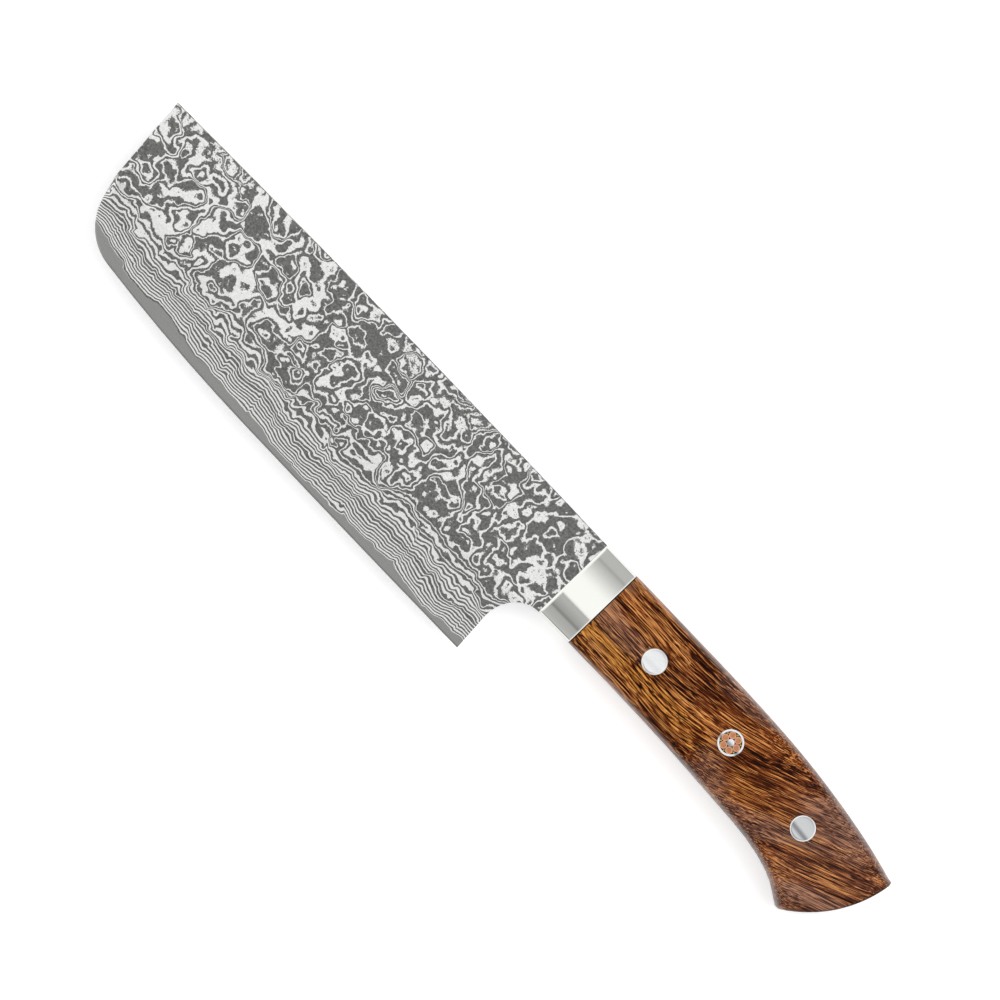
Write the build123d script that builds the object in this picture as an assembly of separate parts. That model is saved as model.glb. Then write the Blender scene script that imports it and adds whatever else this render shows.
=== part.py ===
from build123d import *
import os

# Nakiri knife: a clad blade, two bolster cheeks, two wooden scales, two plain pins and a mosaic pin
# The knife lies on its right side. X runs along the spine to the butt, Y from the edge up to the
# spine, Z from the right side to the left. Every outline is drawn from the point on the spine where
# the bolster begins, half way through the blade's thickness. Millimetres.

# Blade in side view
blade_length = 165.0
heel_height = 50.4
heel_setback = 8.6
spine_crown = 0.55
tip_drop = 0.2
front_height = 27.0
front_lean = 2.6

# Where the four arcs of the edge meet, as shares of the blade's length and of the heel's height
edge_shares = [(0.0277, 0.6748), (0.1147, 0.9157), (0.4747, 0.9889)]

# Choil, the quarter oval between heel and bolster
choil_depth = 1.0
choil_height = 11.1

# Blade in section
heel_thickness = 2.0
tip_thickness = 1.6
core_thickness = 0.5
edge_thickness = 0.36
edge_bevel = 0.5
spine_easing = 0.3
shoulder_height = 21.9

# Handle in side view, with the bolster
handle_length = 124.2
handle_height = 26.9
spine_drop = 8.7
belly_drop = 10.0
beak_setback = 17.8
butt_bulge = 3.7
butt_easing = 0.8
bolster_length = 12.1
bolster_chamfer = 0.35

# Handle in section
bolster_thickness = 17.0
palm_thickness = 19.6
butt_thickness = 18.4
face_flat_share = 0.42
face_fall = 2.0
edge_round = 4.2

# Handle's spine and belly lines: along as a share of the way to the butt or beak, and the share of
# the whole drop that is reached there
spine_shares = [(0.14, 0.0), (0.29, 0.012), (0.483, 0.047), (0.644, 0.157), (0.781, 0.372), (0.902, 0.663)]
belly_shares = [(0.16, 0.0), (0.33, 0.01), (0.525, 0.06), (0.695, 0.15), (0.827, 0.26), (0.926, 0.54)]

# Sections crowd together towards the beak
section_count = 14
crowding_share = 1.4
last_section_share = 0.965

# Pins
pin_diameter = 7.5
mosaic_diameter = 7.6
front_pin_at = (32.75, 13.2)
mosaic_pin_at = (64.0, 13.6)
rear_pin_at = (95.4, 15.8)
glue_gap = 0.02

# Mosaic pin
mosaic_wall = 0.55
packing_gap = 0.04
copper_wall = 0.3
brass_wire_diameter = 0.5
rod_count = 6
copper_turn = -2.0
wire_seat_share = 0.882

# How far a cut runs past what it cuts
overrun = 30.0

heel_x = -heel_setback
tip_x = heel_x - blade_length
beak_x = handle_length - beak_setback


def blade_half_thickness(x):
    """Half the blade's thickness on its flats, thinner towards the tip."""
    return (heel_thickness + (heel_thickness - tip_thickness) * x / (heel_setback + blade_length)) / 2


def edge_points():
    """Ends of the edge's arcs in side view, from the heel forward to the foot of the upright front."""
    heel = Vector(heel_x, -heel_height)
    joints = [Vector(tip_x + along * blade_length, -down * heel_height) for along, down in edge_shares]
    foot = Vector(tip_x + front_lean, -front_height)
    return [heel] + joints[::-1] + [foot]


def edge_arcs(shift):
    """The edge as tangent arcs, level at the heel, all moved by one shift."""
    points = [point + shift for point in edge_points()]
    heading = Vector(-1, 0)
    arcs = []
    for start, end in zip(points, points[1:]):
        arc = TangentArc(start, end, tangent=heading)
        heading = arc % 1
        arcs.append(arc)
    return arcs


def shoulder_lines(half_at):
    """Where the ground faces leave the flats, right above the edge's arcs."""
    foot = edge_points()[-1]
    rise = (shoulder_height - heel_height - foot.Y) / (heel_x - foot.X)
    line = [Vector(joint.X, foot.Y + rise * (joint.X - foot.X), half_at(joint.X)) for joint in edge_points()]
    return [Line(start, end) for start, end in zip(line, line[1:])]


def blade_wire(run, half_at):
    """Closed outline of one level of the blade, from the bolster past heel, edge and front to the spine."""
    def at(x, y):
        return Vector(x, y, half_at(x))

    heel = run[0] @ 0
    corner = at(0, heel.Y)
    front_top = at(tip_x, -tip_drop)
    spine = ThreePointArc(front_top, at(tip_x / 2, spine_crown), at(0, 0))
    return Wire([Line(at(0, 0), corner), Line(corner, heel)] + run + [Line(run[-1] @ 1, front_top), spine])


def blade_levels(side):
    """Outlines on one side of the middle: where the flats end, then where the edge bevel begins."""
    def flat(x):
        return side * blade_half_thickness(x)

    def bevel(x):
        return side * edge_thickness / 2

    up_front = (Vector(tip_x, -tip_drop) - edge_points()[-1]).normalized()
    shift = up_front * edge_bevel + Vector(0, 0, side * edge_thickness / 2)
    return [blade_wire(shoulder_lines(flat), flat), blade_wire(edge_arcs(shift), bevel)]


def ground_blade():
    """Blade ground alike from both sides, one ruled skin over shoulder, edge bevel and edge."""
    edge = blade_wire(edge_arcs(Vector(0, 0)), lambda x: 0)
    blade = Solid.make_loft(blade_levels(-1) + [edge] + blade_levels(1)[::-1], ruled=True)
    spine_edges = [edge for edge in blade.edges() if is_spine_edge(edge.center())]
    return chamfer(spine_edges, spine_easing) - choil_cut()


def is_spine_edge(middle):
    """Whether an edge with this middle runs along the spine beside one of the flats."""
    return middle.Y > 0 and middle.X < heel_x and abs(middle.Z) > core_thickness


def choil_cut():
    """What is cut away behind the heel and under the bolster's front."""
    low = -heel_height - overrun
    top = -handle_height
    start = (heel_x - choil_depth, top - choil_height)
    centre = (0, top - choil_height)
    oval = EllipticalCenterArc(centre, heel_setback + choil_depth, choil_height, start_angle=90, arc_size=90)
    outline = [
        oval,
        Line(start, (heel_x, -heel_height)),
        Polyline((heel_x, -heel_height), (heel_x, low), (0, low), (0, top)),
    ]
    return extrude(make_face(outline), heel_thickness, both=True)


def handle_line(shares, reach, start, drop):
    """One edge of the handle in side view, from the bolster's front to the butt."""
    points = [(along * reach, start - down * drop) for along, down in [(0, 0)] + shares + [(1, 1)]]
    return Spline(points)


def half_thickness_at(x):
    """Half the handle's thickness: widest at the mosaic pin and thinner towards both ends."""
    palm_x = mosaic_pin_at[0]
    end_x, end_thickness = (0, bolster_thickness) if x < palm_x else (handle_length, butt_thickness)
    fall = ((x - palm_x) / (end_x - palm_x)) ** 2
    return (palm_thickness - (palm_thickness - end_thickness) * fall) / 2


def handle_section(spine, belly):
    """One cross-section between a spine and a belly point: faces flat in the middle, then falling away."""
    across = spine - belly
    half_height = across.length / 2
    half = half_thickness_at((spine.X + belly.X) / 2)
    fall = TangentArc((half_height * face_flat_share, half), (half_height, half - face_fall), tangent=(1, 0))
    quarter = make_face([fall, Polyline(fall @ 1, (half_height, 0), (0, 0), (0, half), fall @ 0)])
    corner = quarter.vertices().sort_by_distance(fall @ 1)[0]
    quarter = fillet(corner, edge_round)
    side = quarter + mirror(quarter, Plane.YZ)
    plane = Plane(origin=(spine + belly) / 2, x_dir=across, z_dir=Vector(0, 0, 1).cross(across))
    return plane * (side + mirror(side, Plane.XZ))


def handle_block():
    """The whole handle as one block, cut to the butt's arc and eased there."""
    spine_line = handle_line(spine_shares, handle_length, 0, spine_drop)
    belly_line = handle_line(belly_shares, beak_x, -handle_height, belly_drop)
    sections = []
    for i in range(section_count + 1):
        along = last_section_share * (1 - (1 - i / section_count) ** crowding_share)
        sections.append(handle_section(spine_line @ along, belly_line @ along))
    past = 2 * butt_bulge
    last = [line @ 1 + line % 1 * past for line in (spine_line, belly_line)]
    sections.append(handle_section(*last))
    block = loft(sections, ruled=True) - behind_butt(spine_line @ 1, belly_line @ 1)
    butt = block.faces().sort_by(Axis.X)[-1]
    return chamfer(butt.edges(), butt_easing)


def behind_butt(top, beak):
    """What lies behind the arc of the butt."""
    chord = (beak - top).length
    radius = (chord * chord / 4 + butt_bulge * butt_bulge) / (2 * butt_bulge)
    plane = Plane(origin=(top + beak) / 2, x_dir=top - beak, z_dir=(0, 0, 1))
    beyond = Pos(0, -overrun) * Rectangle(chord + 2 * overrun, 2 * (overrun + butt_bulge))
    beyond -= Pos(0, radius - butt_bulge) * Circle(radius)
    return extrude(plane * beyond, palm_thickness, both=True)


def rod(at, diameter, length=palm_thickness + overrun):
    """Round bar through the handle at a pin's place, as long on one side as on the other."""
    return Pos(at[0], -at[1]) * Cylinder(diameter / 2, length)


def blade_layers(tang, holes):
    """Core and two claddings, each running on from the blade through the tang."""
    whole = ground_blade() + tang - holes
    left_face = Plane.XY.offset(core_thickness / 2)
    right_face = Plane.XY.offset(-core_thickness / 2)
    return {
        "left_cladding": split(whole, left_face, Keep.TOP),
        "blade_core": split(split(whole, left_face, Keep.BOTTOM), right_face, Keep.TOP),
        "right_cladding": split(whole, right_face, Keep.BOTTOM),
    }


def handle_side(side_block, side, holes):
    """Bolster cheek and scale of one side, parted where the wood begins."""
    joint = Plane.YZ.offset(bolster_length)
    bolster = split(side_block, joint, Keep.BOTTOM)
    front = bolster.faces().sort_by(Axis.X)[0]
    outer_edges = front.edges().sort_by(Axis.Z, reverse=side == "right")[1:]
    return {
        side + "_bolster": chamfer(outer_edges, bolster_chamfer),
        side + "_scale": split(side_block, joint, Keep.TOP) - holes,
    }


def mosaic_pin():
    """Steel tube with seven rods packed in it: six copper tubes with brass cores round a steel rod."""
    bore = mosaic_diameter - 2 * mosaic_wall
    seat = bore / 3
    rod_diameter = seat - packing_gap
    copper_spots = polar_spots(seat, copper_turn)
    wire_spots = polar_spots(bore / 2 * wire_seat_share, copper_turn + 180 / rod_count)
    core_diameter = rod_diameter - 2 * copper_wall
    centre = rod(mosaic_pin_at, rod_diameter, palm_thickness)
    coppers = [rod(spot, rod_diameter, palm_thickness) for spot in copper_spots]
    cores = [rod(spot, core_diameter, palm_thickness) for spot in copper_spots]
    wires = [rod(spot, brass_wire_diameter, palm_thickness) for spot in wire_spots]
    filling = rod(mosaic_pin_at, bore, palm_thickness)
    return {
        "mosaic_pin_tube": rod(mosaic_pin_at, mosaic_diameter, palm_thickness) - filling,
        "mosaic_centre_rod": centre,
        "mosaic_copper_tubes": Compound([(tube - core).solid() for tube, core in zip(coppers, cores)]),
        "mosaic_brass_cores": Compound([core.solid() for core in cores]),
        "mosaic_brass_wires": Compound([wire.solid() for wire in wires]),
        "mosaic_resin": filling - centre - coppers - wires,
    }


def polar_spots(distance, first_angle):
    """Places evenly round the mosaic pin's centre, as along and down."""
    spots = PolarLocations(distance, rod_count, start_angle=first_angle)
    return [(mosaic_pin_at[0] + spot.position.X, mosaic_pin_at[1] + spot.position.Y) for spot in spots]


def knife():
    """Every piece of the knife by name."""
    handle = handle_block()
    left_face = Plane.XY.offset(heel_thickness / 2)
    right_face = Plane.XY.offset(-heel_thickness / 2)
    left_block = split(handle, left_face, Keep.TOP)
    right_block = split(handle, right_face, Keep.BOTTOM)
    tang = split(split(handle, left_face, Keep.BOTTOM), right_face, Keep.TOP)
    holes = [
        rod(front_pin_at, pin_diameter + 2 * glue_gap),
        rod(mosaic_pin_at, mosaic_diameter + 2 * glue_gap),
        rod(rear_pin_at, pin_diameter + 2 * glue_gap),
    ]
    pieces = blade_layers(tang, holes)
    pieces.update(handle_side(left_block, "left", holes))
    pieces.update(handle_side(right_block, "right", holes))
    pieces["front_pin"] = handle & rod(front_pin_at, pin_diameter)
    pieces["rear_pin"] = handle & rod(rear_pin_at, pin_diameter)
    pieces.update(mosaic_pin())
    return pieces


pieces = knife()
box = Compound([piece for piece in pieces.values()]).bounding_box()
ground_point = Vector((box.min.X + box.max.X) / 2, (box.min.Y + box.max.Y) / 2, box.min.Z)
os.makedirs("parts", exist_ok=True)
for name, piece in pieces.items():
    export_step(Pos(-ground_point) * piece, "parts/" + name + ".step")
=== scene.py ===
import math

import bpy
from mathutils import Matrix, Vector


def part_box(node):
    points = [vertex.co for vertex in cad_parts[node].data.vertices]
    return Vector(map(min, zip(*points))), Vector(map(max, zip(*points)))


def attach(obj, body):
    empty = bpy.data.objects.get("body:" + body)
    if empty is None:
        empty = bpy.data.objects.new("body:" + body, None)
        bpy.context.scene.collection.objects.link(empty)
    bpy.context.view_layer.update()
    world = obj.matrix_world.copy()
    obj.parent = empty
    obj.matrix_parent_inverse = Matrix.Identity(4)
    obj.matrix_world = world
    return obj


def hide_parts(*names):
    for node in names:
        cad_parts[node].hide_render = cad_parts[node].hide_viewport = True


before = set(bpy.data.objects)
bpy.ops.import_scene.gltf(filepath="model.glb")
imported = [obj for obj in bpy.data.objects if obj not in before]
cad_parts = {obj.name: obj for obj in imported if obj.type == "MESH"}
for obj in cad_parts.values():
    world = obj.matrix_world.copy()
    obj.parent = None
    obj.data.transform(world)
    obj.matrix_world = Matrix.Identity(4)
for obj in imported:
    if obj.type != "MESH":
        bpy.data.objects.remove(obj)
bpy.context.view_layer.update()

# Everything is placed from the point on the spine where the bolster begins, half way through the
# blade. Along runs to the butt, down runs from the spine to the edge, up runs out of the left face.
mm = 0.001
bolster_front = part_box("left_bolster")[0].x
spine_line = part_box("left_bolster")[1].y
middle = (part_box("blade_core")[0].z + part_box("blade_core")[1].z) / 2

# Outline of the handle, in millimetres. The cross-sections fan out behind the bolster. The butt
# bulges in an arc with an eased rim, and the even rows of the skin stop a little before it.
spine_reach = 124.2
belly_reach = 106.4
handle_height = 26.9
spine_drop = 8.7
belly_drop = 10.0
bolster_length = 12.1
butt_bulge = 3.7
bulge_power = 4
butt_ease = 0.9
butt_room = 1.9
fan_length = 50.0

# How much of its drop the spine or the belly has reached at a share of the way to the butt
spine_shares = [(0, 0), (0.14, 0), (0.29, 0.012), (0.483, 0.047), (0.644, 0.157), (0.781, 0.372),
                (0.902, 0.663), (1, 1)]
belly_shares = [(0, 0), (0.16, 0), (0.33, 0.01), (0.525, 0.06), (0.695, 0.15), (0.827, 0.26),
                (0.926, 0.54), (1, 1)]

# Cross-section of the handle, in millimetres
bolster_thickness = 17.0
palm_thickness = 19.6
butt_thickness = 18.4
palm_place = 64.0
palm_front = 45.0
tang_half = 1.0
face_fall = 2.0
bolster_round = 2.2
palm_round = 4.2
bolster_ease = 0.22

# Pins, in millimetres: along, down and radius, their play in the wood, and their eased rims
front_pin = (32.75, 13.2, 3.75)
mosaic_pin = (64.0, 13.6, 3.8)
rear_pin = (95.4, 15.8, 3.75)
pin_gap = 0.03
pin_rim = 0.25
pin_rise = 0.06
pin_ring_shares = (0.0, 0.25, 0.5, 0.75)
pin_rim_turns = (0.0, 0.4, 0.8, 1.2, math.pi / 2)
drill_length = 50.0

# How finely the handle is divided, the width in millimetres that is welded, and in degrees the
# angles from which an edge is shaded crisp and from which a rim is eased
section_steps = 12
bolster_steps = 11
scale_steps = 100
butt_steps = 6
pin_sides = 72
drill_sides = 96
ease_segments = 3
solving_rounds = 6
weld_width = 0.002
crisp_angle = 35
rim_angle = 50

# Depth of etched or polished marks, in millimetres
relief_depth = 0.02

# Ground face of the blade, in millimetres, and how it falls away and grows steeper in the nose
shoulder_down = 28.5
nose_start = -90.0
beak_stretch = (60.0, 80.0)
grind_power = 1.5
grind_fall = 0.00885
nose_growth = 0.0009
beak_growth = 0.7

# Layers of the cladding and the core, in millimetres: their growth to the nose, where they lie
# calmer or speckled, and how much faster their figure changes through the thickness than over it
layer_thickness = 0.046
layer_growth = 0.0035
core_half = 0.25
core_blur = 0.003
calm_stretch = (-34.0, -8.0)
speckle_stretch = (9.0, 2.0)
depth_stretch = 9.0

# Figure of the wood, in millimetres: the sweep of its grain, its dark ring, golden band and glue
# line, and how far a face has turned to the butt where it shows end grain
sweep_start = 42.0
sweep_length = 36.0
sweep_curve = 0.0055
ring_down = 16.5
ring_edge = (3.0, 0.5)
ring_stretch = (56.0, 72.0)
gold_down = 19.5
gold_edge = (5.0, 1.5)
gold_stretch = (80.0, 45.0)
rear_stretch = (35.0, 65.0)
# Where the violet-grey, partly the wood's tone and partly a painted sheen, grows towards the butt
violet_sheen_stretch = (75.0, 105.0)
glue_width = 0.3
glue_blur = 0.15
end_turn = (0.25, 0.6)

# Browns of the wood from its darkest lines to its lightest
wood_browns = [(0.14, (0.008, 0.002, 0.001, 1)), (0.34, (0.045, 0.007, 0.0, 1)),
               (0.48, (0.115, 0.024, 0.004, 1)), (0.60, (0.21, 0.049, 0.012, 1)),
               (0.74, (0.36, 0.111, 0.026, 1)), (0.93, (0.70, 0.31, 0.09, 1))]

# Painted highlight on the rims of the sanded pins, and painted shade in a dark streak across them, in
# millimetres
rim_highlight_edge = (0.5, 0.3)
streak_down = 14.3
streak_slope = 0.09
streak_half = 1.3
streak_stretch = (35.0, 60.0)
rear_pin_stretch = (75.0, 90.0)

# What polished steel mirrors: greys by the degrees from overhead, towards the spine where positive,
# and how far a direction lies aside where the room gives way to white cloth
room_greys = [(-100, 0.95), (-92, 0.06), (-84, 0.08), (-77, 0.52), (-45, 0.48), (-26, 0.40),
              (-23, 0.20), (-20, 0.33), (-8, 0.47), (-6.4, 0.28), (-5.7, 1.0), (1, 1.0), (6, 0.80),
              (12, 0.62), (21, 0.46), (24, 0.37), (27, 0.48), (82, 0.48), (86, 0.12), (92, 0.12),
              (100, 0.95)]
cloth_sides = (0.09, 0.24)

# Picture, in millimetres: the width it shows, its middle, lens and film, and its turn in degrees
view_width = 281.6
view_middle = (-5.34, 12.11)
lens_length = 500
film_width = 36
view_turn = 45.97

# Floor, in millimetres, and lamp, in metres and watts, with the greys of floor and sky
floor_width = 6000.0
floor_gap = 0.1
floor_glow = 0.4
floor_grey = (0.9, 0.9, 0.9, 1)
sky_grey = (0.85, 0.85, 0.85, 1)
white = (1.0, 1.0, 1.0, 1)
lamp_place = (0.35, 0.45, 0.9)
lamp_size = 0.8
lamp_power = 4.0


def feed(tree, value, socket):
    """Gives a socket a link or a plain value."""
    if isinstance(value, bpy.types.NodeSocket):
        tree.links.new(value, socket)
    else:
        socket.default_value = value


def add(tree, kind, inputs=None, **settings):
    """New shader node with its settings, and its inputs by name."""
    made = tree.nodes.new("ShaderNode" + kind)
    for name, value in settings.items():
        setattr(made, name, value)
    for name, value in (inputs or {}).items():
        feed(tree, value, made.inputs[name])
    return made


def calc(tree, operation, *values):
    """Number worked out from links or plain values."""
    made = add(tree, "Math", operation=operation)
    for socket, value in zip(made.inputs, values):
        feed(tree, value, socket)
    return made.outputs[0]


def fade(tree, value, low, high, to_low=0.0, to_high=1.0):
    """Value eased from one level to another between two limits."""
    made = add(tree, "MapRange", {"Value": value, "From Min": low, "From Max": high, "To Min": to_low,
                                  "To Max": to_high}, interpolation_type="SMOOTHSTEP")
    return made.outputs["Result"]


def mean(tree, share, first, second):
    """Number between two numbers."""
    made = add(tree, "Mix", {"Factor": share}, data_type="FLOAT")
    feed(tree, first, made.inputs[2])
    feed(tree, second, made.inputs[3])
    return made.outputs[0]


def total(tree, *parts):
    """Sum of values between 0 and 1, each centred on nothing and times its weight."""
    amount = 0.0
    for value, weight in parts:
        amount = calc(tree, "MULTIPLY_ADD", value, weight, amount)
    return calc(tree, "SUBTRACT", amount, sum(weight for _, weight in parts) / 2)


def blend(tree, share, first, second):
    """Colour between two colours."""
    made = add(tree, "Mix", data_type="RGBA")
    first_socket, second_socket = [socket for socket in made.inputs if socket.type == "RGBA"]
    feed(tree, share, made.inputs["Factor"])
    feed(tree, first, first_socket)
    feed(tree, second, second_socket)
    return [socket for socket in made.outputs if socket.type == "RGBA"][0]


def noise(tree, place, scale, detail=0.0, roughness=0.5, part="Fac"):
    """Soft cloudy value between 0 and 1, or the same as a colour."""
    made = add(tree, "TexNoise", {"Vector": place, "Scale": scale, "Detail": detail,
                                  "Roughness": roughness})
    return made.outputs[part]


def stretch(tree, place, size, turn=0.0):
    """Place in a pattern after it is stretched and turned."""
    made = add(tree, "Mapping", {"Vector": place, "Rotation": (0.0, 0.0, turn), "Scale": size})
    return made.outputs["Vector"]


def drawn_noise(tree, place, size, detail=1.0, roughness=0.5, turn=0.0):
    """Soft cloudy value between 0 and 1 in a stretched and turned pattern."""
    return noise(tree, stretch(tree, place, size, turn), 1.0, detail, roughness)


def split(tree, place):
    """The three parts of a place."""
    return add(tree, "SeparateXYZ", {"Vector": place}).outputs


def join(tree, x, y, z):
    """A place from its three parts."""
    made = add(tree, "CombineXYZ", {"X": x, "Y": y, "Z": z})
    return made.outputs["Vector"]


def nudge(tree, place, amount, by):
    """Place moved by a colour noise, as wide as amount."""
    centred = add(tree, "VectorMath", operation="SUBTRACT")
    feed(tree, by, centred.inputs[0])
    feed(tree, (0.5, 0.5, 0.5), centred.inputs[1])
    moved = add(tree, "VectorMath", operation="MULTIPLY_ADD")
    feed(tree, centred.outputs[0], moved.inputs[0])
    feed(tree, (amount, amount, amount), moved.inputs[1])
    feed(tree, place, moved.inputs[2])
    return moved.outputs[0]


def distance(tree, place, spot):
    """Distance of a place from a spot."""
    made = add(tree, "VectorMath", operation="DISTANCE")
    feed(tree, place, made.inputs[0])
    feed(tree, spot, made.inputs[1])
    return made.outputs["Value"]


def group(name, outputs):
    """Empty shader node group with its named outputs."""
    tree = bpy.data.node_groups.new(name, "ShaderNodeTree")
    for label, kind in outputs:
        tree.interface.new_socket(name=label, in_out="OUTPUT", socket_type=kind)
    return tree, tree.nodes.new("NodeGroupOutput")


def new_material(name):
    """Material with an empty Principled surface."""
    material = bpy.data.materials.new(name)
    material.use_nodes = True
    tree = material.node_tree
    shader = [node for node in tree.nodes if node.type == "BSDF_PRINCIPLED"][0]
    return material, shader, tree


def place_group():
    """Place on the knife in millimetres: along, down and up from the middle of the blade."""
    tree, out = group("place on the knife", [("Place", "NodeSocketVector")])
    coords = add(tree, "TexCoord").outputs["Object"]
    made = add(tree, "Mapping", {"Vector": coords, "Scale": (1 / mm, -1 / mm, 1 / mm),
                                 "Location": (-bolster_front / mm, spine_line / mm, -middle / mm)})
    tree.links.new(made.outputs["Vector"], out.inputs["Place"])
    return tree


def surface_depth(tree, along, down, up):
    """How far the surface lies from the middle: by the ground face's own slope where it looks up."""
    ahead = calc(tree, "MAXIMUM", calc(tree, "SUBTRACT", nose_start, along), 0.0)
    slope = calc(tree, "MULTIPLY_ADD", calc(tree, "POWER", ahead, grind_power), nose_growth, 1.0)
    slope = calc(tree, "ADD", slope, fade(tree, ahead, *beak_stretch, 0.0, beak_growth))
    below = calc(tree, "MAXIMUM", calc(tree, "SUBTRACT", down, shoulder_down), 0.0)
    fall = calc(tree, "MULTIPLY", calc(tree, "POWER", below, grind_power), grind_fall)
    level = calc(tree, "SUBTRACT", tang_half, calc(tree, "MULTIPLY", fall, slope))
    facing = add(tree, "NewGeometry").outputs["Normal"]
    flatness = calc(tree, "ABSOLUTE", split(tree, facing)[2])
    depth = mean(tree, fade(tree, flatness, 0.3, 0.7), calc(tree, "ABSOLUTE", up), level)
    return depth, level, ahead


def folded_height(tree, spread, along, depth, level):
    """Height in the folded layers: patches where they lie level, waves where they are cut at a slope."""
    bent = nudge(tree, spread, 3.0, noise(tree, spread, 0.3, 1.0, part="Color"))
    patches = add(tree, "TexVoronoi", {"Vector": bent, "Scale": 0.15, "Smoothness": 0.52},
                  feature="SMOOTH_F1")
    patch = split(tree, patches.outputs["Color"])[0]
    swell = noise(tree, bent, 0.15, 1.0)
    ripple = noise(tree, spread, 0.45)
    calm = fade(tree, along, *calm_stretch, 1.0, 0.6)
    pressed = calc(tree, "MULTIPLY", total(tree, (patch, 0.17), (swell, 0.24), (ripple, 0.045)), calm)
    waves = drawn_noise(tree, spread, (0.05, 0.05, 0.1))
    folds = drawn_noise(tree, bent, (0.2, 0.08, 0.1))
    steps = fade(tree, drawn_noise(tree, bent, (0.12, 0.05, 0.1)), 0.46, 0.54)
    drawn = total(tree, (waves, 0.3), (folds, 0.15), (steps, 0.04))
    cut = calc(tree, "MULTIPLY_ADD", swell, 0.5, level)
    height = calc(tree, "ADD", depth, mean(tree, fade(tree, cut, 1.16, 0.92), pressed, drawn))
    return height, cut, waves


def bright_layers(tree, spread, down, ahead, height, cut, waves):
    """Where the brighter of the two steels shows: layers that differ in thickness, with ragged edges."""
    speckles = fade(tree, waves, 0.5, 0.62, 0.0, 1.3)
    speckled = calc(tree, "MULTIPLY", fade(tree, down, *speckle_stretch), speckles)
    roughening = calc(tree, "ADD", fade(tree, cut, 1.0, 1.2, 0.3, 1.0), speckled)
    ragged = total(tree, (noise(tree, spread, 2.2, 2.0, 0.7), 0.6))
    ragged = calc(tree, "MULTIPLY", ragged, roughening)
    thickness = calc(tree, "MULTIPLY_ADD", ahead, layer_growth * layer_thickness, layer_thickness)
    layer = calc(tree, "ADD", calc(tree, "DIVIDE", height, thickness), ragged)
    number = calc(tree, "FLOOR", layer)
    share = add(tree, "TexWhiteNoise", {"W": number}, noise_dimensions="1D").outputs["Value"]
    half_width = calc(tree, "MULTIPLY_ADD", share, 0.2, 0.12)
    from_middle = calc(tree, "ABSOLUTE", calc(tree, "SUBTRACT", calc(tree, "FRACT", layer), 0.5))
    return fade(tree, calc(tree, "SUBTRACT", from_middle, half_width), 0.04, -0.04)


def damascus_group(place_tree):
    """Etched clad steel: where the cladding's layers come to the surface, and the plain core."""
    tree, out = group("clad steel", [("Colour", "NodeSocketColor"), ("Roughness", "NodeSocketFloat"),
                                     ("Height", "NodeSocketFloat")])
    along, down, up = split(tree, add(tree, "Group", node_tree=place_tree).outputs["Place"])
    spread = join(tree, along, down, calc(tree, "MULTIPLY", up, depth_stretch))
    depth, level, ahead = surface_depth(tree, along, down, up)
    height, cut, waves = folded_height(tree, spread, along, depth, level)
    bright = bright_layers(tree, spread, down, ahead, height, cut, waves)
    cladding = fade(tree, calc(tree, "SUBTRACT", height, core_half), -core_blur, core_blur)

    mottle = fade(tree, noise(tree, spread, 1.6, 2.0, 0.7), 0.3, 0.7)
    dark = blend(tree, mottle, (0.125, 0.125, 0.122, 1), (0.24, 0.24, 0.235, 1))
    light = blend(tree, mottle, (0.86, 0.86, 0.845, 1), (1.0, 1.0, 0.985, 1))
    grain = drawn_noise(tree, spread, (1.2, 6.0, 1.0), 2.0, 0.6)
    core = blend(tree, grain, (0.29, 0.29, 0.284, 1), (0.40, 0.40, 0.392, 1))
    colour = blend(tree, cladding, core, blend(tree, bright, dark, light))
    tree.links.new(colour, out.inputs["Colour"])
    tree.links.new(calc(tree, "MULTIPLY_ADD", bright, -0.04, 0.3), out.inputs["Roughness"])
    tree.links.new(calc(tree, "MULTIPLY", bright, cladding), out.inputs["Height"])
    return tree


def clad_steel(pattern):
    """Finish of the blade and tang: layered cladding over a plain core, etched a little deep."""
    material, shader, tree = new_material("clad steel")
    marks = add(tree, "Group", node_tree=pattern).outputs
    shader.inputs["Metallic"].default_value = 1.0
    tree.links.new(marks["Colour"], shader.inputs["Base Color"])
    tree.links.new(marks["Roughness"], shader.inputs["Roughness"])
    relief = add(tree, "Bump", {"Height": marks["Height"], "Strength": 0.25, "Distance": relief_depth * mm})
    tree.links.new(relief.outputs["Normal"], shader.inputs["Normal"])
    return material


def bolster_steel(place_tree):
    """Mirror-polished steel of the bolster, with fine buffing marks."""
    material, shader, tree = new_material("bolster steel")
    place = add(tree, "Group", node_tree=place_tree).outputs["Place"]
    marks = drawn_noise(tree, place, (0.6, 12.0, 12.0), 3.0, 0.6)
    shader.inputs["Metallic"].default_value = 1.0
    tint = blend(tree, marks, (0.93, 0.93, 0.88, 1), (0.99, 0.99, 0.95, 1))
    tree.links.new(tint, shader.inputs["Base Color"])
    tree.links.new(fade(tree, marks, 0.2, 0.8, 0.05, 0.09), shader.inputs["Roughness"])
    return material


def painted_pin_shade(tree, along, down):
    """Painted shade: a dark streak that sinks towards the butt, faint on the front pin, over a rear pin
    painted darker all over.
    """
    behind = calc(tree, "MAXIMUM", calc(tree, "SUBTRACT", along, mosaic_pin[0]), 0.0)
    off = calc(tree, "SUBTRACT", down, calc(tree, "MULTIPLY_ADD", behind, streak_slope, streak_down))
    streak = fade(tree, calc(tree, "ABSOLUTE", off), streak_half, 0.0)
    streak = calc(tree, "MULTIPLY", streak, fade(tree, along, *streak_stretch, 0.1, 0.75))
    streak = calc(tree, "MULTIPLY", streak, fade(tree, along, *rear_pin_stretch, 1.0, 0.65))
    return calc(tree, "ADD", streak, fade(tree, along, *rear_pin_stretch, 0.0, 0.3))


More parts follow.
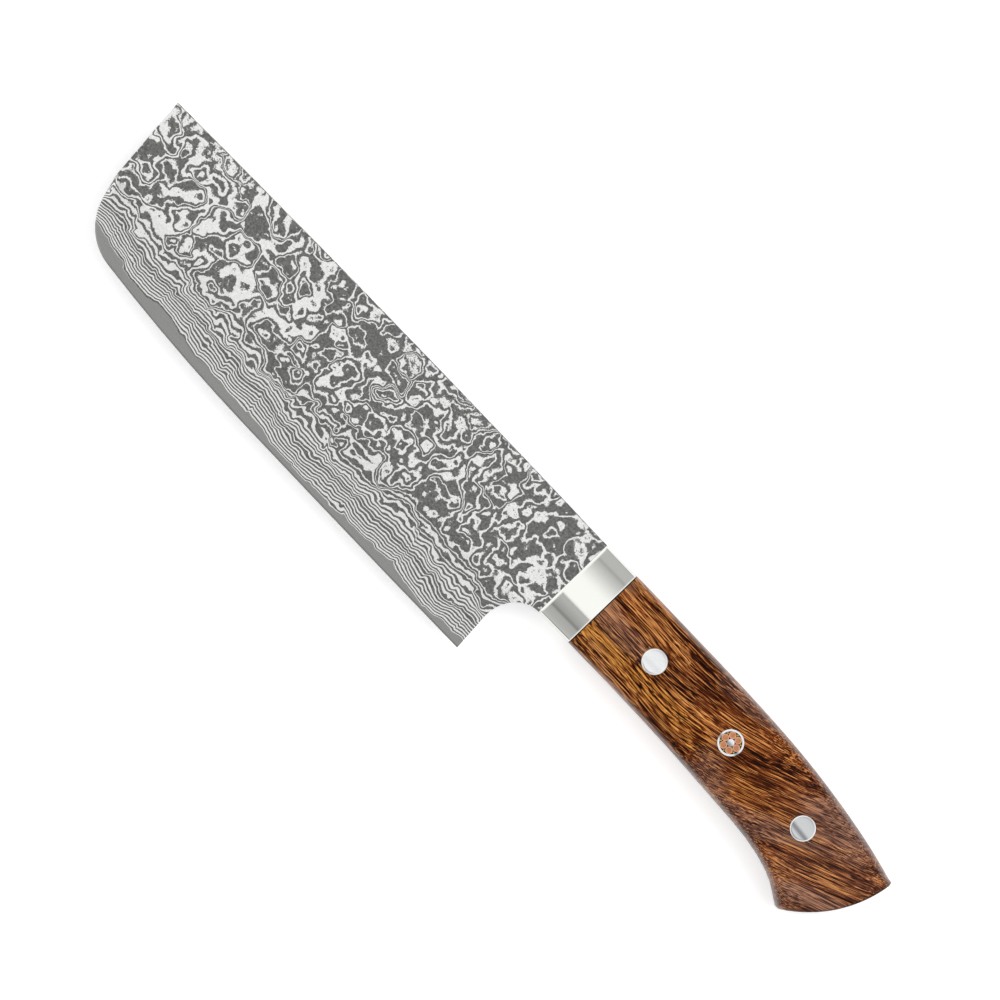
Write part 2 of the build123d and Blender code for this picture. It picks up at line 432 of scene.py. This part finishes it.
def pin_steel(place_tree):
    """Steel of the pins, sanded flush: fine scratches, painted shade in a dark streak across, and a painted
    highlight on the rim.
    """
    material, shader, tree = new_material("pin steel")
    place = add(tree, "Group", node_tree=place_tree).outputs["Place"]
    along, down, _ = split(tree, place)
    flat_place = join(tree, along, down, 0.0)
    rims = []
    for at, level, radius in (front_pin, rear_pin):
        reach = distance(tree, flat_place, (at, level, 0.0))
        off_rim = calc(tree, "ABSOLUTE", calc(tree, "SUBTRACT", reach, radius))
        rims.append(fade(tree, off_rim, *rim_highlight_edge))
    rim = calc(tree, "MAXIMUM", *rims)
    # Painted shade: the dark streak across the pins and the darker rear pin
    painted_shade = calc(tree, "MULTIPLY", painted_pin_shade(tree, along, down), calc(tree, "SUBTRACT", 1.0, rim))
    scratches = drawn_noise(tree, place, (0.7, 5.0, 1.0), 2.0, 0.6, turn=0.25)
    face = blend(tree, scratches, (0.80, 0.81, 0.82, 1), (0.92, 0.92, 0.93, 1))
    # Painted highlight: the face turns white at the rim
    face = blend(tree, rim, face, white)
    shader.inputs["Metallic"].default_value = 1.0
    tree.links.new(blend(tree, painted_shade, face, (0.10, 0.11, 0.13, 1)), shader.inputs["Base Color"])
    tree.links.new(calc(tree, "MULTIPLY_ADD", rim, 0.2, 0.12), shader.inputs["Roughness"])
    return material


def plain_metal(place_tree, name, dark, light, roughness):
    """Polished metal that is slightly uneven in colour."""
    material, shader, tree = new_material(name)
    place = add(tree, "Group", node_tree=place_tree).outputs["Place"]
    cloud = noise(tree, place, 2.0, 3.0, 0.6)
    shader.inputs["Metallic"].default_value = 1.0
    tree.links.new(blend(tree, cloud, dark, light), shader.inputs["Base Color"])
    dullness = fade(tree, cloud, 0.2, 0.8, roughness * 1.2, roughness * 0.8)
    tree.links.new(dullness, shader.inputs["Roughness"])
    return material


def black_resin(place_tree):
    """Black resin between the rods of the mosaic pin."""
    material, shader, tree = new_material("black resin")
    place = add(tree, "Group", node_tree=place_tree).outputs["Place"]
    cloud = noise(tree, place, 3.0, 2.0)
    black = blend(tree, cloud, (0.002, 0.002, 0.002, 1), (0.012, 0.011, 0.01, 1))
    tree.links.new(black, shader.inputs["Base Color"])
    tree.links.new(fade(tree, cloud, 0.2, 0.8, 0.25, 0.4), shader.inputs["Roughness"])
    shader.inputs["Specular IOR Level"].default_value = 0.15
    return material


def grain_place(tree, along, down, up):
    """Place in the wood's grain, which runs level at the bolster and climbs towards the butt."""
    past = calc(tree, "MAXIMUM", calc(tree, "SUBTRACT", along, sweep_start), 0.0)
    start = calc(tree, "MINIMUM", past, sweep_length)
    sweep_slope = 2 * sweep_curve * sweep_length
    straight = calc(tree, "MULTIPLY", calc(tree, "SUBTRACT", past, start), sweep_slope)
    climb = calc(tree, "MULTIPLY_ADD", calc(tree, "MULTIPLY", start, start), sweep_curve, straight)
    bent = join(tree, along, calc(tree, "ADD", down, climb), up)
    swing = noise(tree, stretch(tree, bent, (0.35, 1.0, 1.0)), 0.07, 1.0, part="Color")
    wavy = nudge(tree, bent, 4.0, swing)
    tremble = noise(tree, stretch(tree, wavy, (0.25, 1.0, 1.0)), 0.5, 1.0, part="Color")
    return nudge(tree, wavy, 0.7, tremble)


def grain_tone(tree, wavy, along, pores):
    """How light the wood is: lines, streaks, pores, thin dark veins and a dark ring at the rear."""
    broad = drawn_noise(tree, wavy, (0.03, 0.2, 0.15))
    lines = drawn_noise(tree, wavy, (0.03, 2.5, 1.7), 2.0, 0.7)
    streaks = drawn_noise(tree, wavy, (0.08, 5.0, 3.5), 1.0, 0.7)
    tone = total(tree, (lines, 1.7), (broad, 0.8), (streaks, 2.2), (pores, 1.1))
    tone = calc(tree, "MULTIPLY", tone, fade(tree, along, *rear_stretch, 1.65, 1.0))
    ring = calc(tree, "ABSOLUTE", calc(tree, "SUBTRACT", split(tree, wavy)[1], ring_down))
    ring = calc(tree, "MULTIPLY", fade(tree, ring, *ring_edge), fade(tree, along, *ring_stretch))
    tone = calc(tree, "MULTIPLY_ADD", ring, -0.2, tone)
    tone = calc(tree, "ADD", tone, fade(tree, along, *rear_stretch, 0.497, 0.492))
    veins = drawn_noise(tree, wavy, (0.022, 1.0, 0.7), 1.0, 0.4)
    seam = fade(tree, calc(tree, "PINGPONG", veins, 0.07), 0.022, 0.0)
    return calc(tree, "MULTIPLY_ADD", seam, fade(tree, along, *rear_stretch, -0.27, -0.15), tone)


def colour_ramp(tree, value, stops):
    """Colour by a value, from stops of a place and a colour."""
    ramp = add(tree, "ValToRGB", {"Fac": value})
    for i, (at, colour) in enumerate(stops):
        stop = ramp.color_ramp.elements[i] if i < 2 else ramp.color_ramp.elements.new(at)
        stop.position = at
        stop.color = colour
    return ramp.outputs["Color"]


def grain_colour(tree, tone, wavy, along, down):
    """Browns of the ironwood, with a golden band above the belly, and violet-grey zones that are partly the
    wood's own tone and partly a painted sheen, more of it towards the butt.
    """
    browns = colour_ramp(tree, tone, wood_browns)
    figure = drawn_noise(tree, wavy, (0.035, 0.1, 0.1))
    # Violet-grey zones: partly the wood's own tone, partly a painted sheen that grows towards the butt
    violet = fade(tree, figure, 0.5, 0.64, 0.0, 0.5)
    violet = calc(tree, "ADD", violet, fade(tree, along, *violet_sheen_stretch, 0.0, 0.25))
    violet_grey_and_sheen = blend(tree, fade(tree, tone, 0.0, 1.0), (0.035, 0.012, 0.009, 1), (0.33, 0.18, 0.13, 1))
    colour = blend(tree, violet, browns, violet_grey_and_sheen)
    off = calc(tree, "ABSOLUTE", calc(tree, "SUBTRACT", down, gold_down))
    gold = calc(tree, "MULTIPLY", fade(tree, off, *gold_edge, 0.0, 0.42),
                fade(tree, along, *gold_stretch, 0.3, 1.0))
    gold = calc(tree, "MULTIPLY", gold, fade(tree, tone, 0.55, 0.85))
    return blend(tree, gold, colour, (0.62, 0.28, 0.03, 1))


def ironwood_group(place_tree):
    """Desert ironwood: fine dark and golden lines that sweep up towards the butt."""
    tree, out = group("ironwood grain", [("Colour", "NodeSocketColor"), ("Roughness", "NodeSocketFloat"),
                                         ("Height", "NodeSocketFloat"), ("Wax", "NodeSocketFloat")])
    along, down, up = split(tree, add(tree, "Group", node_tree=place_tree).outputs["Place"])
    wavy = grain_place(tree, along, down, up)
    pores = drawn_noise(tree, wavy, (0.28, 7.5, 7.5), 1.0, 0.6)
    tone = grain_tone(tree, wavy, along, pores)
    colour = grain_colour(tree, tone, wavy, along, down)

    # Dark glue line against the bolster, and darker end grain with less wax
    glue_end = bolster_length + glue_width
    glue = fade(tree, along, glue_end, glue_end - glue_blur)
    colour = blend(tree, glue, colour, (0.006, 0.004, 0.004, 1))
    butt_facing = split(tree, add(tree, "NewGeometry").outputs["Normal"])[0]
    end_grain = fade(tree, butt_facing, *end_turn, 0.0, 0.6)
    colour = blend(tree, end_grain, colour, (0.012, 0.004, 0.002, 1))
    tree.links.new(colour, out.inputs["Colour"])
    tree.links.new(fade(tree, butt_facing, *end_turn, 1.0, 0.15), out.inputs["Wax"])
    tree.links.new(fade(tree, pores, 0.3, 0.6, 0.42, 0.28), out.inputs["Roughness"])
    tree.links.new(pores, out.inputs["Height"])
    return tree


def ironwood(grain):
    """Oiled and buffed ironwood: its wax shows where the surface turns away."""
    material, shader, tree = new_material("ironwood")
    marks = add(tree, "Group", node_tree=grain).outputs
    tree.links.new(marks["Colour"], shader.inputs["Base Color"])
    tree.links.new(marks["Roughness"], shader.inputs["Roughness"])
    shader.inputs["Specular IOR Level"].default_value = 0.05
    shader.inputs["Sheen Weight"].default_value = 0.15
    shader.inputs["Sheen Roughness"].default_value = 0.3
    turned = fade(tree, add(tree, "LayerWeight", {"Blend": 0.5}).outputs["Facing"], 0.12, 0.5)
    tree.links.new(calc(tree, "MULTIPLY", turned, marks["Wax"]), shader.inputs["Coat Weight"])
    shader.inputs["Coat Roughness"].default_value = 0.3
    shader.inputs["Coat IOR"].default_value = 2.0
    relief = add(tree, "Bump", {"Height": marks["Height"], "Strength": 0.15, "Distance": relief_depth * mm})
    tree.links.new(relief.outputs["Normal"], shader.inputs["Normal"])
    return material


def eased(way):
    """Way from 0 to 1 with a soft start and end."""
    return way * way * (3 - 2 * way)


def level_at(shares, share):
    """Share of the drop reached at a share of the way along, on a smooth line through the given ones."""
    last = len(shares) - 1
    i = max(k for k in range(last) if shares[k][0] <= share)
    slopes = []
    for k in (i, i + 1):
        before, after = shares[max(k - 1, 0)], shares[min(k + 1, last)]
        slopes.append((after[1] - before[1]) / (after[0] - before[0]))
    (start, low), (end, high) = shares[i], shares[i + 1]
    width = end - start
    t = (share - start) / width
    lift = (high - low) * eased(t)
    return low + lift + width * (slopes[0] * (t - 2 * t * t + t ** 3) + slopes[1] * (t ** 3 - t * t))


def rounding_at(along):
    """Radius of the handle's long edges: crisp at the bolster, full from the front of the palm on."""
    way = min(max(along / palm_front, 0.0), 1.0)
    return bolster_round + (palm_round - bolster_round) * eased(way)


def half_thickness(along):
    """Half the handle's thickness: fullest at the palm, thinner at the bolster and at the butt."""
    butt_place = (spine_reach + belly_reach) / 2
    end, thickness = (0.0, bolster_thickness) if along < palm_place else (butt_place, butt_thickness)
    fall = ((along - palm_place) / (end - palm_place)) ** 2
    return (palm_thickness - (palm_thickness - thickness) * fall) / 2


def section_points(half_height, half, rounding):
    """Half a cross-section from the middle of the face round to the tang: across and up."""
    def face(v):
        return half - face_fall * (v / half_height) ** 3

    # The rounding's arc leaves the crowned face in the face's own direction
    turn = 0.0
    arc_middle = half_height - rounding
    for _ in range(solving_rounds):
        start = arc_middle + rounding * math.sin(turn)
        turn = math.atan(3 * face_fall * start * start / half_height ** 3)
    centre = face(start) - rounding * math.cos(turn)
    points = []
    for i in range(section_steps):
        v = start * i / section_steps
        points.append((v, face(v)))
    for i in range(section_steps + 1):
        angle = turn + (math.pi / 2 - turn) * i / section_steps
        points.append((arc_middle + rounding * math.sin(angle), centre + rounding * math.cos(angle)))
    points.append((half_height, tang_half))
    return points


def section_ends(reach):
    """Ends of a cross-section on spine and belly: square in the bolster, fanning out behind it."""
    fan = eased(min(max((reach - bolster_length) / fan_length, 0.0), 1.0))
    share = reach / spine_reach
    belly_share = fan * share + (1 - fan) * reach / belly_reach
    spine = Vector((reach, level_at(spine_shares, share) * spine_drop))
    belly_level = handle_height + level_at(belly_shares, belly_share) * belly_drop
    return spine, Vector((belly_share * belly_reach, belly_level))


def handle_row(reach, inset=0.0, back=0.0):
    """One row of the handle's skin, from belly to spine, as places along, down and up."""
    spine, belly = section_ends(reach)
    half_height = (spine - belly).length / 2
    across = (spine - belly).normalized()
    outward = Vector((-across.y, across.x))
    middle_place = (spine + belly) / 2
    half = half_thickness(middle_place.x)
    spine_half = section_points(half_height, half, rounding_at(middle_place.x))
    whole = [(-v, up) for v, up in spine_half[:0:-1]] + spine_half
    bulge = butt_bulge * (reach / spine_reach) ** bulge_power
    row = []
    for v, up in whole:
        v *= 1 - inset / half_height
        up = tang_half + (up - tang_half) * (1 - inset / half)
        place = middle_place + across * v + outward * (bulge * (1 - (v / half_height) ** 2) - back)
        row.append((place.x, place.y, up))
    return row


def on_tang(row):
    """A row of places laid down on the tang."""
    return [(along, down, tang_half) for along, down, _ in row]


def bolster_rows():
    """Rows of the bolster's skin from its front to the wood."""
    return [handle_row(bolster_length * i / bolster_steps) for i in range(bolster_steps + 1)]


def scale_rows():
    """Rows of the wood's skin from the bolster round the eased butt and down its end to the tang."""
    length = spine_reach - butt_room - bolster_length
    rows = [handle_row(bolster_length + length * i / scale_steps) for i in range(scale_steps + 1)]
    for i in range(1, butt_steps + 1):
        angle = math.pi / 2 * i / butt_steps
        inset = butt_ease * (1 - math.cos(angle))
        rows.append(handle_row(spine_reach, inset, butt_ease * (1 - math.sin(angle))))
    return rows + [on_tang(rows[-1])]


def in_scene(along, down, up):
    """A place on the knife in the scene's own axes and metres."""
    return bolster_front + along * mm, spine_line - down * mm, middle + up * mm


def select_only(piece):
    """Makes a piece the only one that is selected, and the active one."""
    bpy.ops.object.select_all(action="DESELECT")
    piece.select_set(True)
    bpy.context.view_layer.objects.active = piece


def sheet(name, rows, side):
    """Grid shaped to rows of places on one side of the blade."""
    across = len(rows[0]) - 1
    ahead = len(rows) - 1
    bpy.ops.object.select_all(action="DESELECT")
    bpy.ops.mesh.primitive_grid_add(x_subdivisions=ahead, y_subdivisions=across, size=2)
    piece = bpy.context.object
    piece.name = name
    for vertex in piece.data.vertices:
        row = rows[round((vertex.co.x + 1) / 2 * ahead)]
        along, down, up = row[round((vertex.co.y + 1) / 2 * across)]
        vertex.co = in_scene(along, down, side * up)
    return piece


def seal(piece):
    """Welds a piece's meeting edges and fills its open ends, so that it is closed and faces outward."""
    select_only(piece)
    bpy.ops.object.mode_set(mode="EDIT")
    bpy.ops.mesh.select_all(action="SELECT")
    bpy.ops.mesh.remove_doubles(threshold=weld_width * mm)
    bpy.ops.mesh.fill_holes(sides=0)
    bpy.ops.mesh.select_all(action="SELECT")
    bpy.ops.mesh.normals_make_consistent(inside=False)
    bpy.ops.object.mode_set(mode="OBJECT")


def closed_half(name, rows, side):
    """One side's piece of the handle: its skin, its flat on the tang, and its open ends filled."""
    skin = sheet(name, rows, side)
    seat = sheet(name + "_seat", [on_tang([row[0], row[-1]]) for row in rows], side)
    select_only(skin)
    seat.select_set(True)
    bpy.ops.object.join()
    seal(skin)
    return skin


def ease_rims(piece, width):
    """Small bevel on the sharp rims, apart from those that lie on the tang."""
    select_only(piece)
    bpy.ops.object.mode_set(mode="EDIT")
    bpy.ops.mesh.select_mode(type="EDGE")
    bpy.ops.mesh.select_all(action="DESELECT")
    bpy.ops.mesh.edges_select_sharp(sharpness=math.radians(rim_angle))
    bpy.ops.object.mode_set(mode="OBJECT")
    points = piece.data.vertices
    tang_reach = (tang_half + weld_width) * mm
    for edge in piece.data.edges:
        if all(abs(points[i].co.z - middle) < tang_reach for i in edge.vertices):
            edge.select = False
    bpy.ops.object.mode_set(mode="EDIT")
    bpy.ops.mesh.bevel(offset=width * mm, segments=ease_segments, affect="EDGES")
    bpy.ops.mesh.select_mode(type="VERT")
    bpy.ops.mesh.select_all(action="SELECT")
    bpy.ops.mesh.normals_make_consistent(inside=False)
    bpy.ops.object.mode_set(mode="OBJECT")


def smooth(piece):
    """Smooth shading, with true edges left crisp."""
    select_only(piece)
    bpy.ops.object.shade_smooth_by_angle(angle=math.radians(crisp_angle))


def bore(piece, spots):
    """Holes for the pins."""
    for along, down, radius in spots:
        bpy.ops.object.select_all(action="DESELECT")
        bpy.ops.mesh.primitive_cylinder_add(vertices=drill_sides, radius=(radius + pin_gap) * mm,
                                            depth=drill_length * mm, location=in_scene(along, down, 0.0))
        drill = bpy.context.object
        select_only(piece)
        cut = piece.modifiers.new("bore", "BOOLEAN")
        cut.operation = "DIFFERENCE"
        cut.solver = "EXACT"
        cut.object = drill
        bpy.ops.object.modifier_apply(modifier=cut.name)
        bpy.data.objects.remove(drill)


def face_up(along, down):
    """Height of the handle's face over the middle of the blade."""
    # The cross-section through the place is found by steps, because the sections fan out
    reach = along
    for _ in range(solving_rounds):
        spine, belly = section_ends(reach)
        line = belly - spine
        between = (Vector((along, down)) - spine).dot(line) / line.length_squared
        reach *= along / (spine.x + between * line.x)
    off_middle = abs(2 * between - 1)
    return half_thickness((spine.x + belly.x) / 2) - face_fall * off_middle ** 3


def pin(name, spot):
    """Round pin through the handle, sanded to the crown of the faces, its rims a little eased."""
    along, down, radius = spot
    rings = [(radius * share, 0.0) for share in pin_ring_shares]
    for turn in pin_rim_turns:
        rings.append((radius - pin_rim * (1 - math.sin(turn)), pin_rim * (1 - math.cos(turn))))
    rows = []
    for side in (1, -1):
        half = []
        for reach, fall in rings:
            row = []
            for i in range(pin_sides + 1):
                angle = 2 * math.pi * i / pin_sides
                x, y = along + reach * math.cos(angle), down + reach * math.sin(angle)
                row.append((x, y, side * (face_up(x, y) + pin_rise - fall)))
            half.append(row)
        rows += half if side == 1 else half[::-1]
    piece = sheet(name + "_shaped", rows, 1)
    seal(piece)
    smooth(piece)
    return piece


def finish(piece, material):
    """Gives a piece one material."""
    piece.data.materials.clear()
    piece.data.materials.append(material)


def dress(piece, node, material):
    """A shaped piece stands for a node and takes its finish."""
    finish(piece, material)
    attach(piece, "root")
    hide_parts(node)


def floor():
    """White floor that keeps the knife's soft shadow."""
    bpy.ops.object.select_all(action="DESELECT")
    bpy.ops.mesh.primitive_plane_add(size=floor_width * mm, location=(0, 0, -floor_gap * mm))
    piece = bpy.context.object
    piece.name = "floor"
    material, shader, tree = new_material("white floor")
    shader.inputs["Base Color"].default_value = floor_grey
    shader.inputs["Roughness"].default_value = 0.9
    shader.inputs["Emission Color"].default_value = white
    seen = add(tree, "LightPath").outputs
    glow = calc(tree, "MULTIPLY", seen["Is Camera Ray"], floor_glow)
    tree.links.new(glow, shader.inputs["Emission Strength"])
    piece.data.materials.append(material)


def studio():
    """Soft even light from above, and the room that polished steel mirrors, with white at its sides."""
    world = bpy.data.worlds.new("studio")
    bpy.context.scene.world = world
    world.use_nodes = True
    tree = world.node_tree
    background = [node for node in tree.nodes if node.type == "BACKGROUND"][0]
    heading = split(tree, add(tree, "TexCoord").outputs["Generated"])
    angle = calc(tree, "DEGREES", calc(tree, "ARCTAN2", heading[1], heading[2]))
    stops = [(degrees / 360 + 0.5, (grey, grey, grey, 1)) for degrees, grey in room_greys]
    room = colour_ramp(tree, calc(tree, "MULTIPLY_ADD", angle, 1 / 360, 0.5), stops)
    aside = calc(tree, "ABSOLUTE", heading[0])
    cloth = blend(tree, fade(tree, aside, *cloth_sides), room, white)
    seen = add(tree, "LightPath").outputs
    mirrored = blend(tree, seen["Is Glossy Ray"], sky_grey, cloth)
    shown = blend(tree, seen["Is Camera Ray"], mirrored, white)
    tree.links.new(shown, background.inputs["Color"])
    background.inputs["Strength"].default_value = 1.0


def lamp():
    """Soft square lamp that looks at the middle of the knife."""
    light = bpy.data.lights.new("key lamp", "AREA")
    light.size = lamp_size
    light.energy = lamp_power
    made = bpy.data.objects.new("key lamp", light)
    bpy.context.scene.collection.objects.link(made)
    made.location = lamp_place
    made.rotation_euler = (-Vector(lamp_place)).to_track_quat("-Z", "Y").to_euler()
    made.visible_glossy = False


def camera():
    """Camera straight over the knife, turned so that the blade runs from upper left to lower right."""
    data = bpy.data.cameras.new("camera")
    data.sensor_width = film_width
    data.lens = lens_length
    made = bpy.data.objects.new("camera", data)
    bpy.context.scene.collection.objects.link(made)
    height = view_width * mm / 2 / math.tan(data.angle / 2)
    made.location = (view_middle[0] * mm, view_middle[1] * mm, middle + height)
    made.rotation_euler = (0, 0, math.radians(view_turn))
    bpy.context.scene.camera = made


place_tree = place_group()
clad = clad_steel(damascus_group(place_tree))
bolster_metal = bolster_steel(place_tree)
pin_metal = pin_steel(place_tree)
wood = ironwood(ironwood_group(place_tree))
copper = plain_metal(place_tree, "copper", (0.66, 0.26, 0.14, 1), (1.0, 0.54, 0.38, 1), 0.3)
brass = plain_metal(place_tree, "brass", (0.36, 0.14, 0.05, 1), (0.85, 0.40, 0.20, 1), 0.35)
wire_brass = plain_metal(place_tree, "wire brass", (0.35, 0.30, 0.04, 1), (0.80, 0.68, 0.16, 1), 0.35)

# The blade's layers and the rods of the mosaic pin are shown as they are built
built_pieces = {
    "blade_core": clad,
    "left_cladding": clad,
    "right_cladding": clad,
    "mosaic_pin_tube": pin_metal,
    "mosaic_centre_rod": pin_metal,
    "mosaic_copper_tubes": copper,
    "mosaic_brass_cores": brass,
    "mosaic_brass_wires": wire_brass,
    "mosaic_resin": black_resin(place_tree),
}
for node, material in built_pieces.items():
    finish(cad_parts[node], material)

for side, word in ((1, "left"), (-1, "right")):
    bolster = closed_half(word + "_bolster_shaped", bolster_rows(), side)
    scale = closed_half(word + "_scale_shaped", scale_rows(), side)
    bore(scale, (front_pin, mosaic_pin, rear_pin))
    ease_rims(bolster, bolster_ease)
    smooth(bolster)
    smooth(scale)
    dress(bolster, word + "_bolster", bolster_metal)
    dress(scale, word + "_scale", wood)

dress(pin("front_pin", front_pin), "front_pin", pin_metal)
dress(pin("rear_pin", rear_pin), "rear_pin", pin_metal)

floor()
studio()
lamp()
camera()

bpy.context.scene.view_settings.view_transform = "Standard"
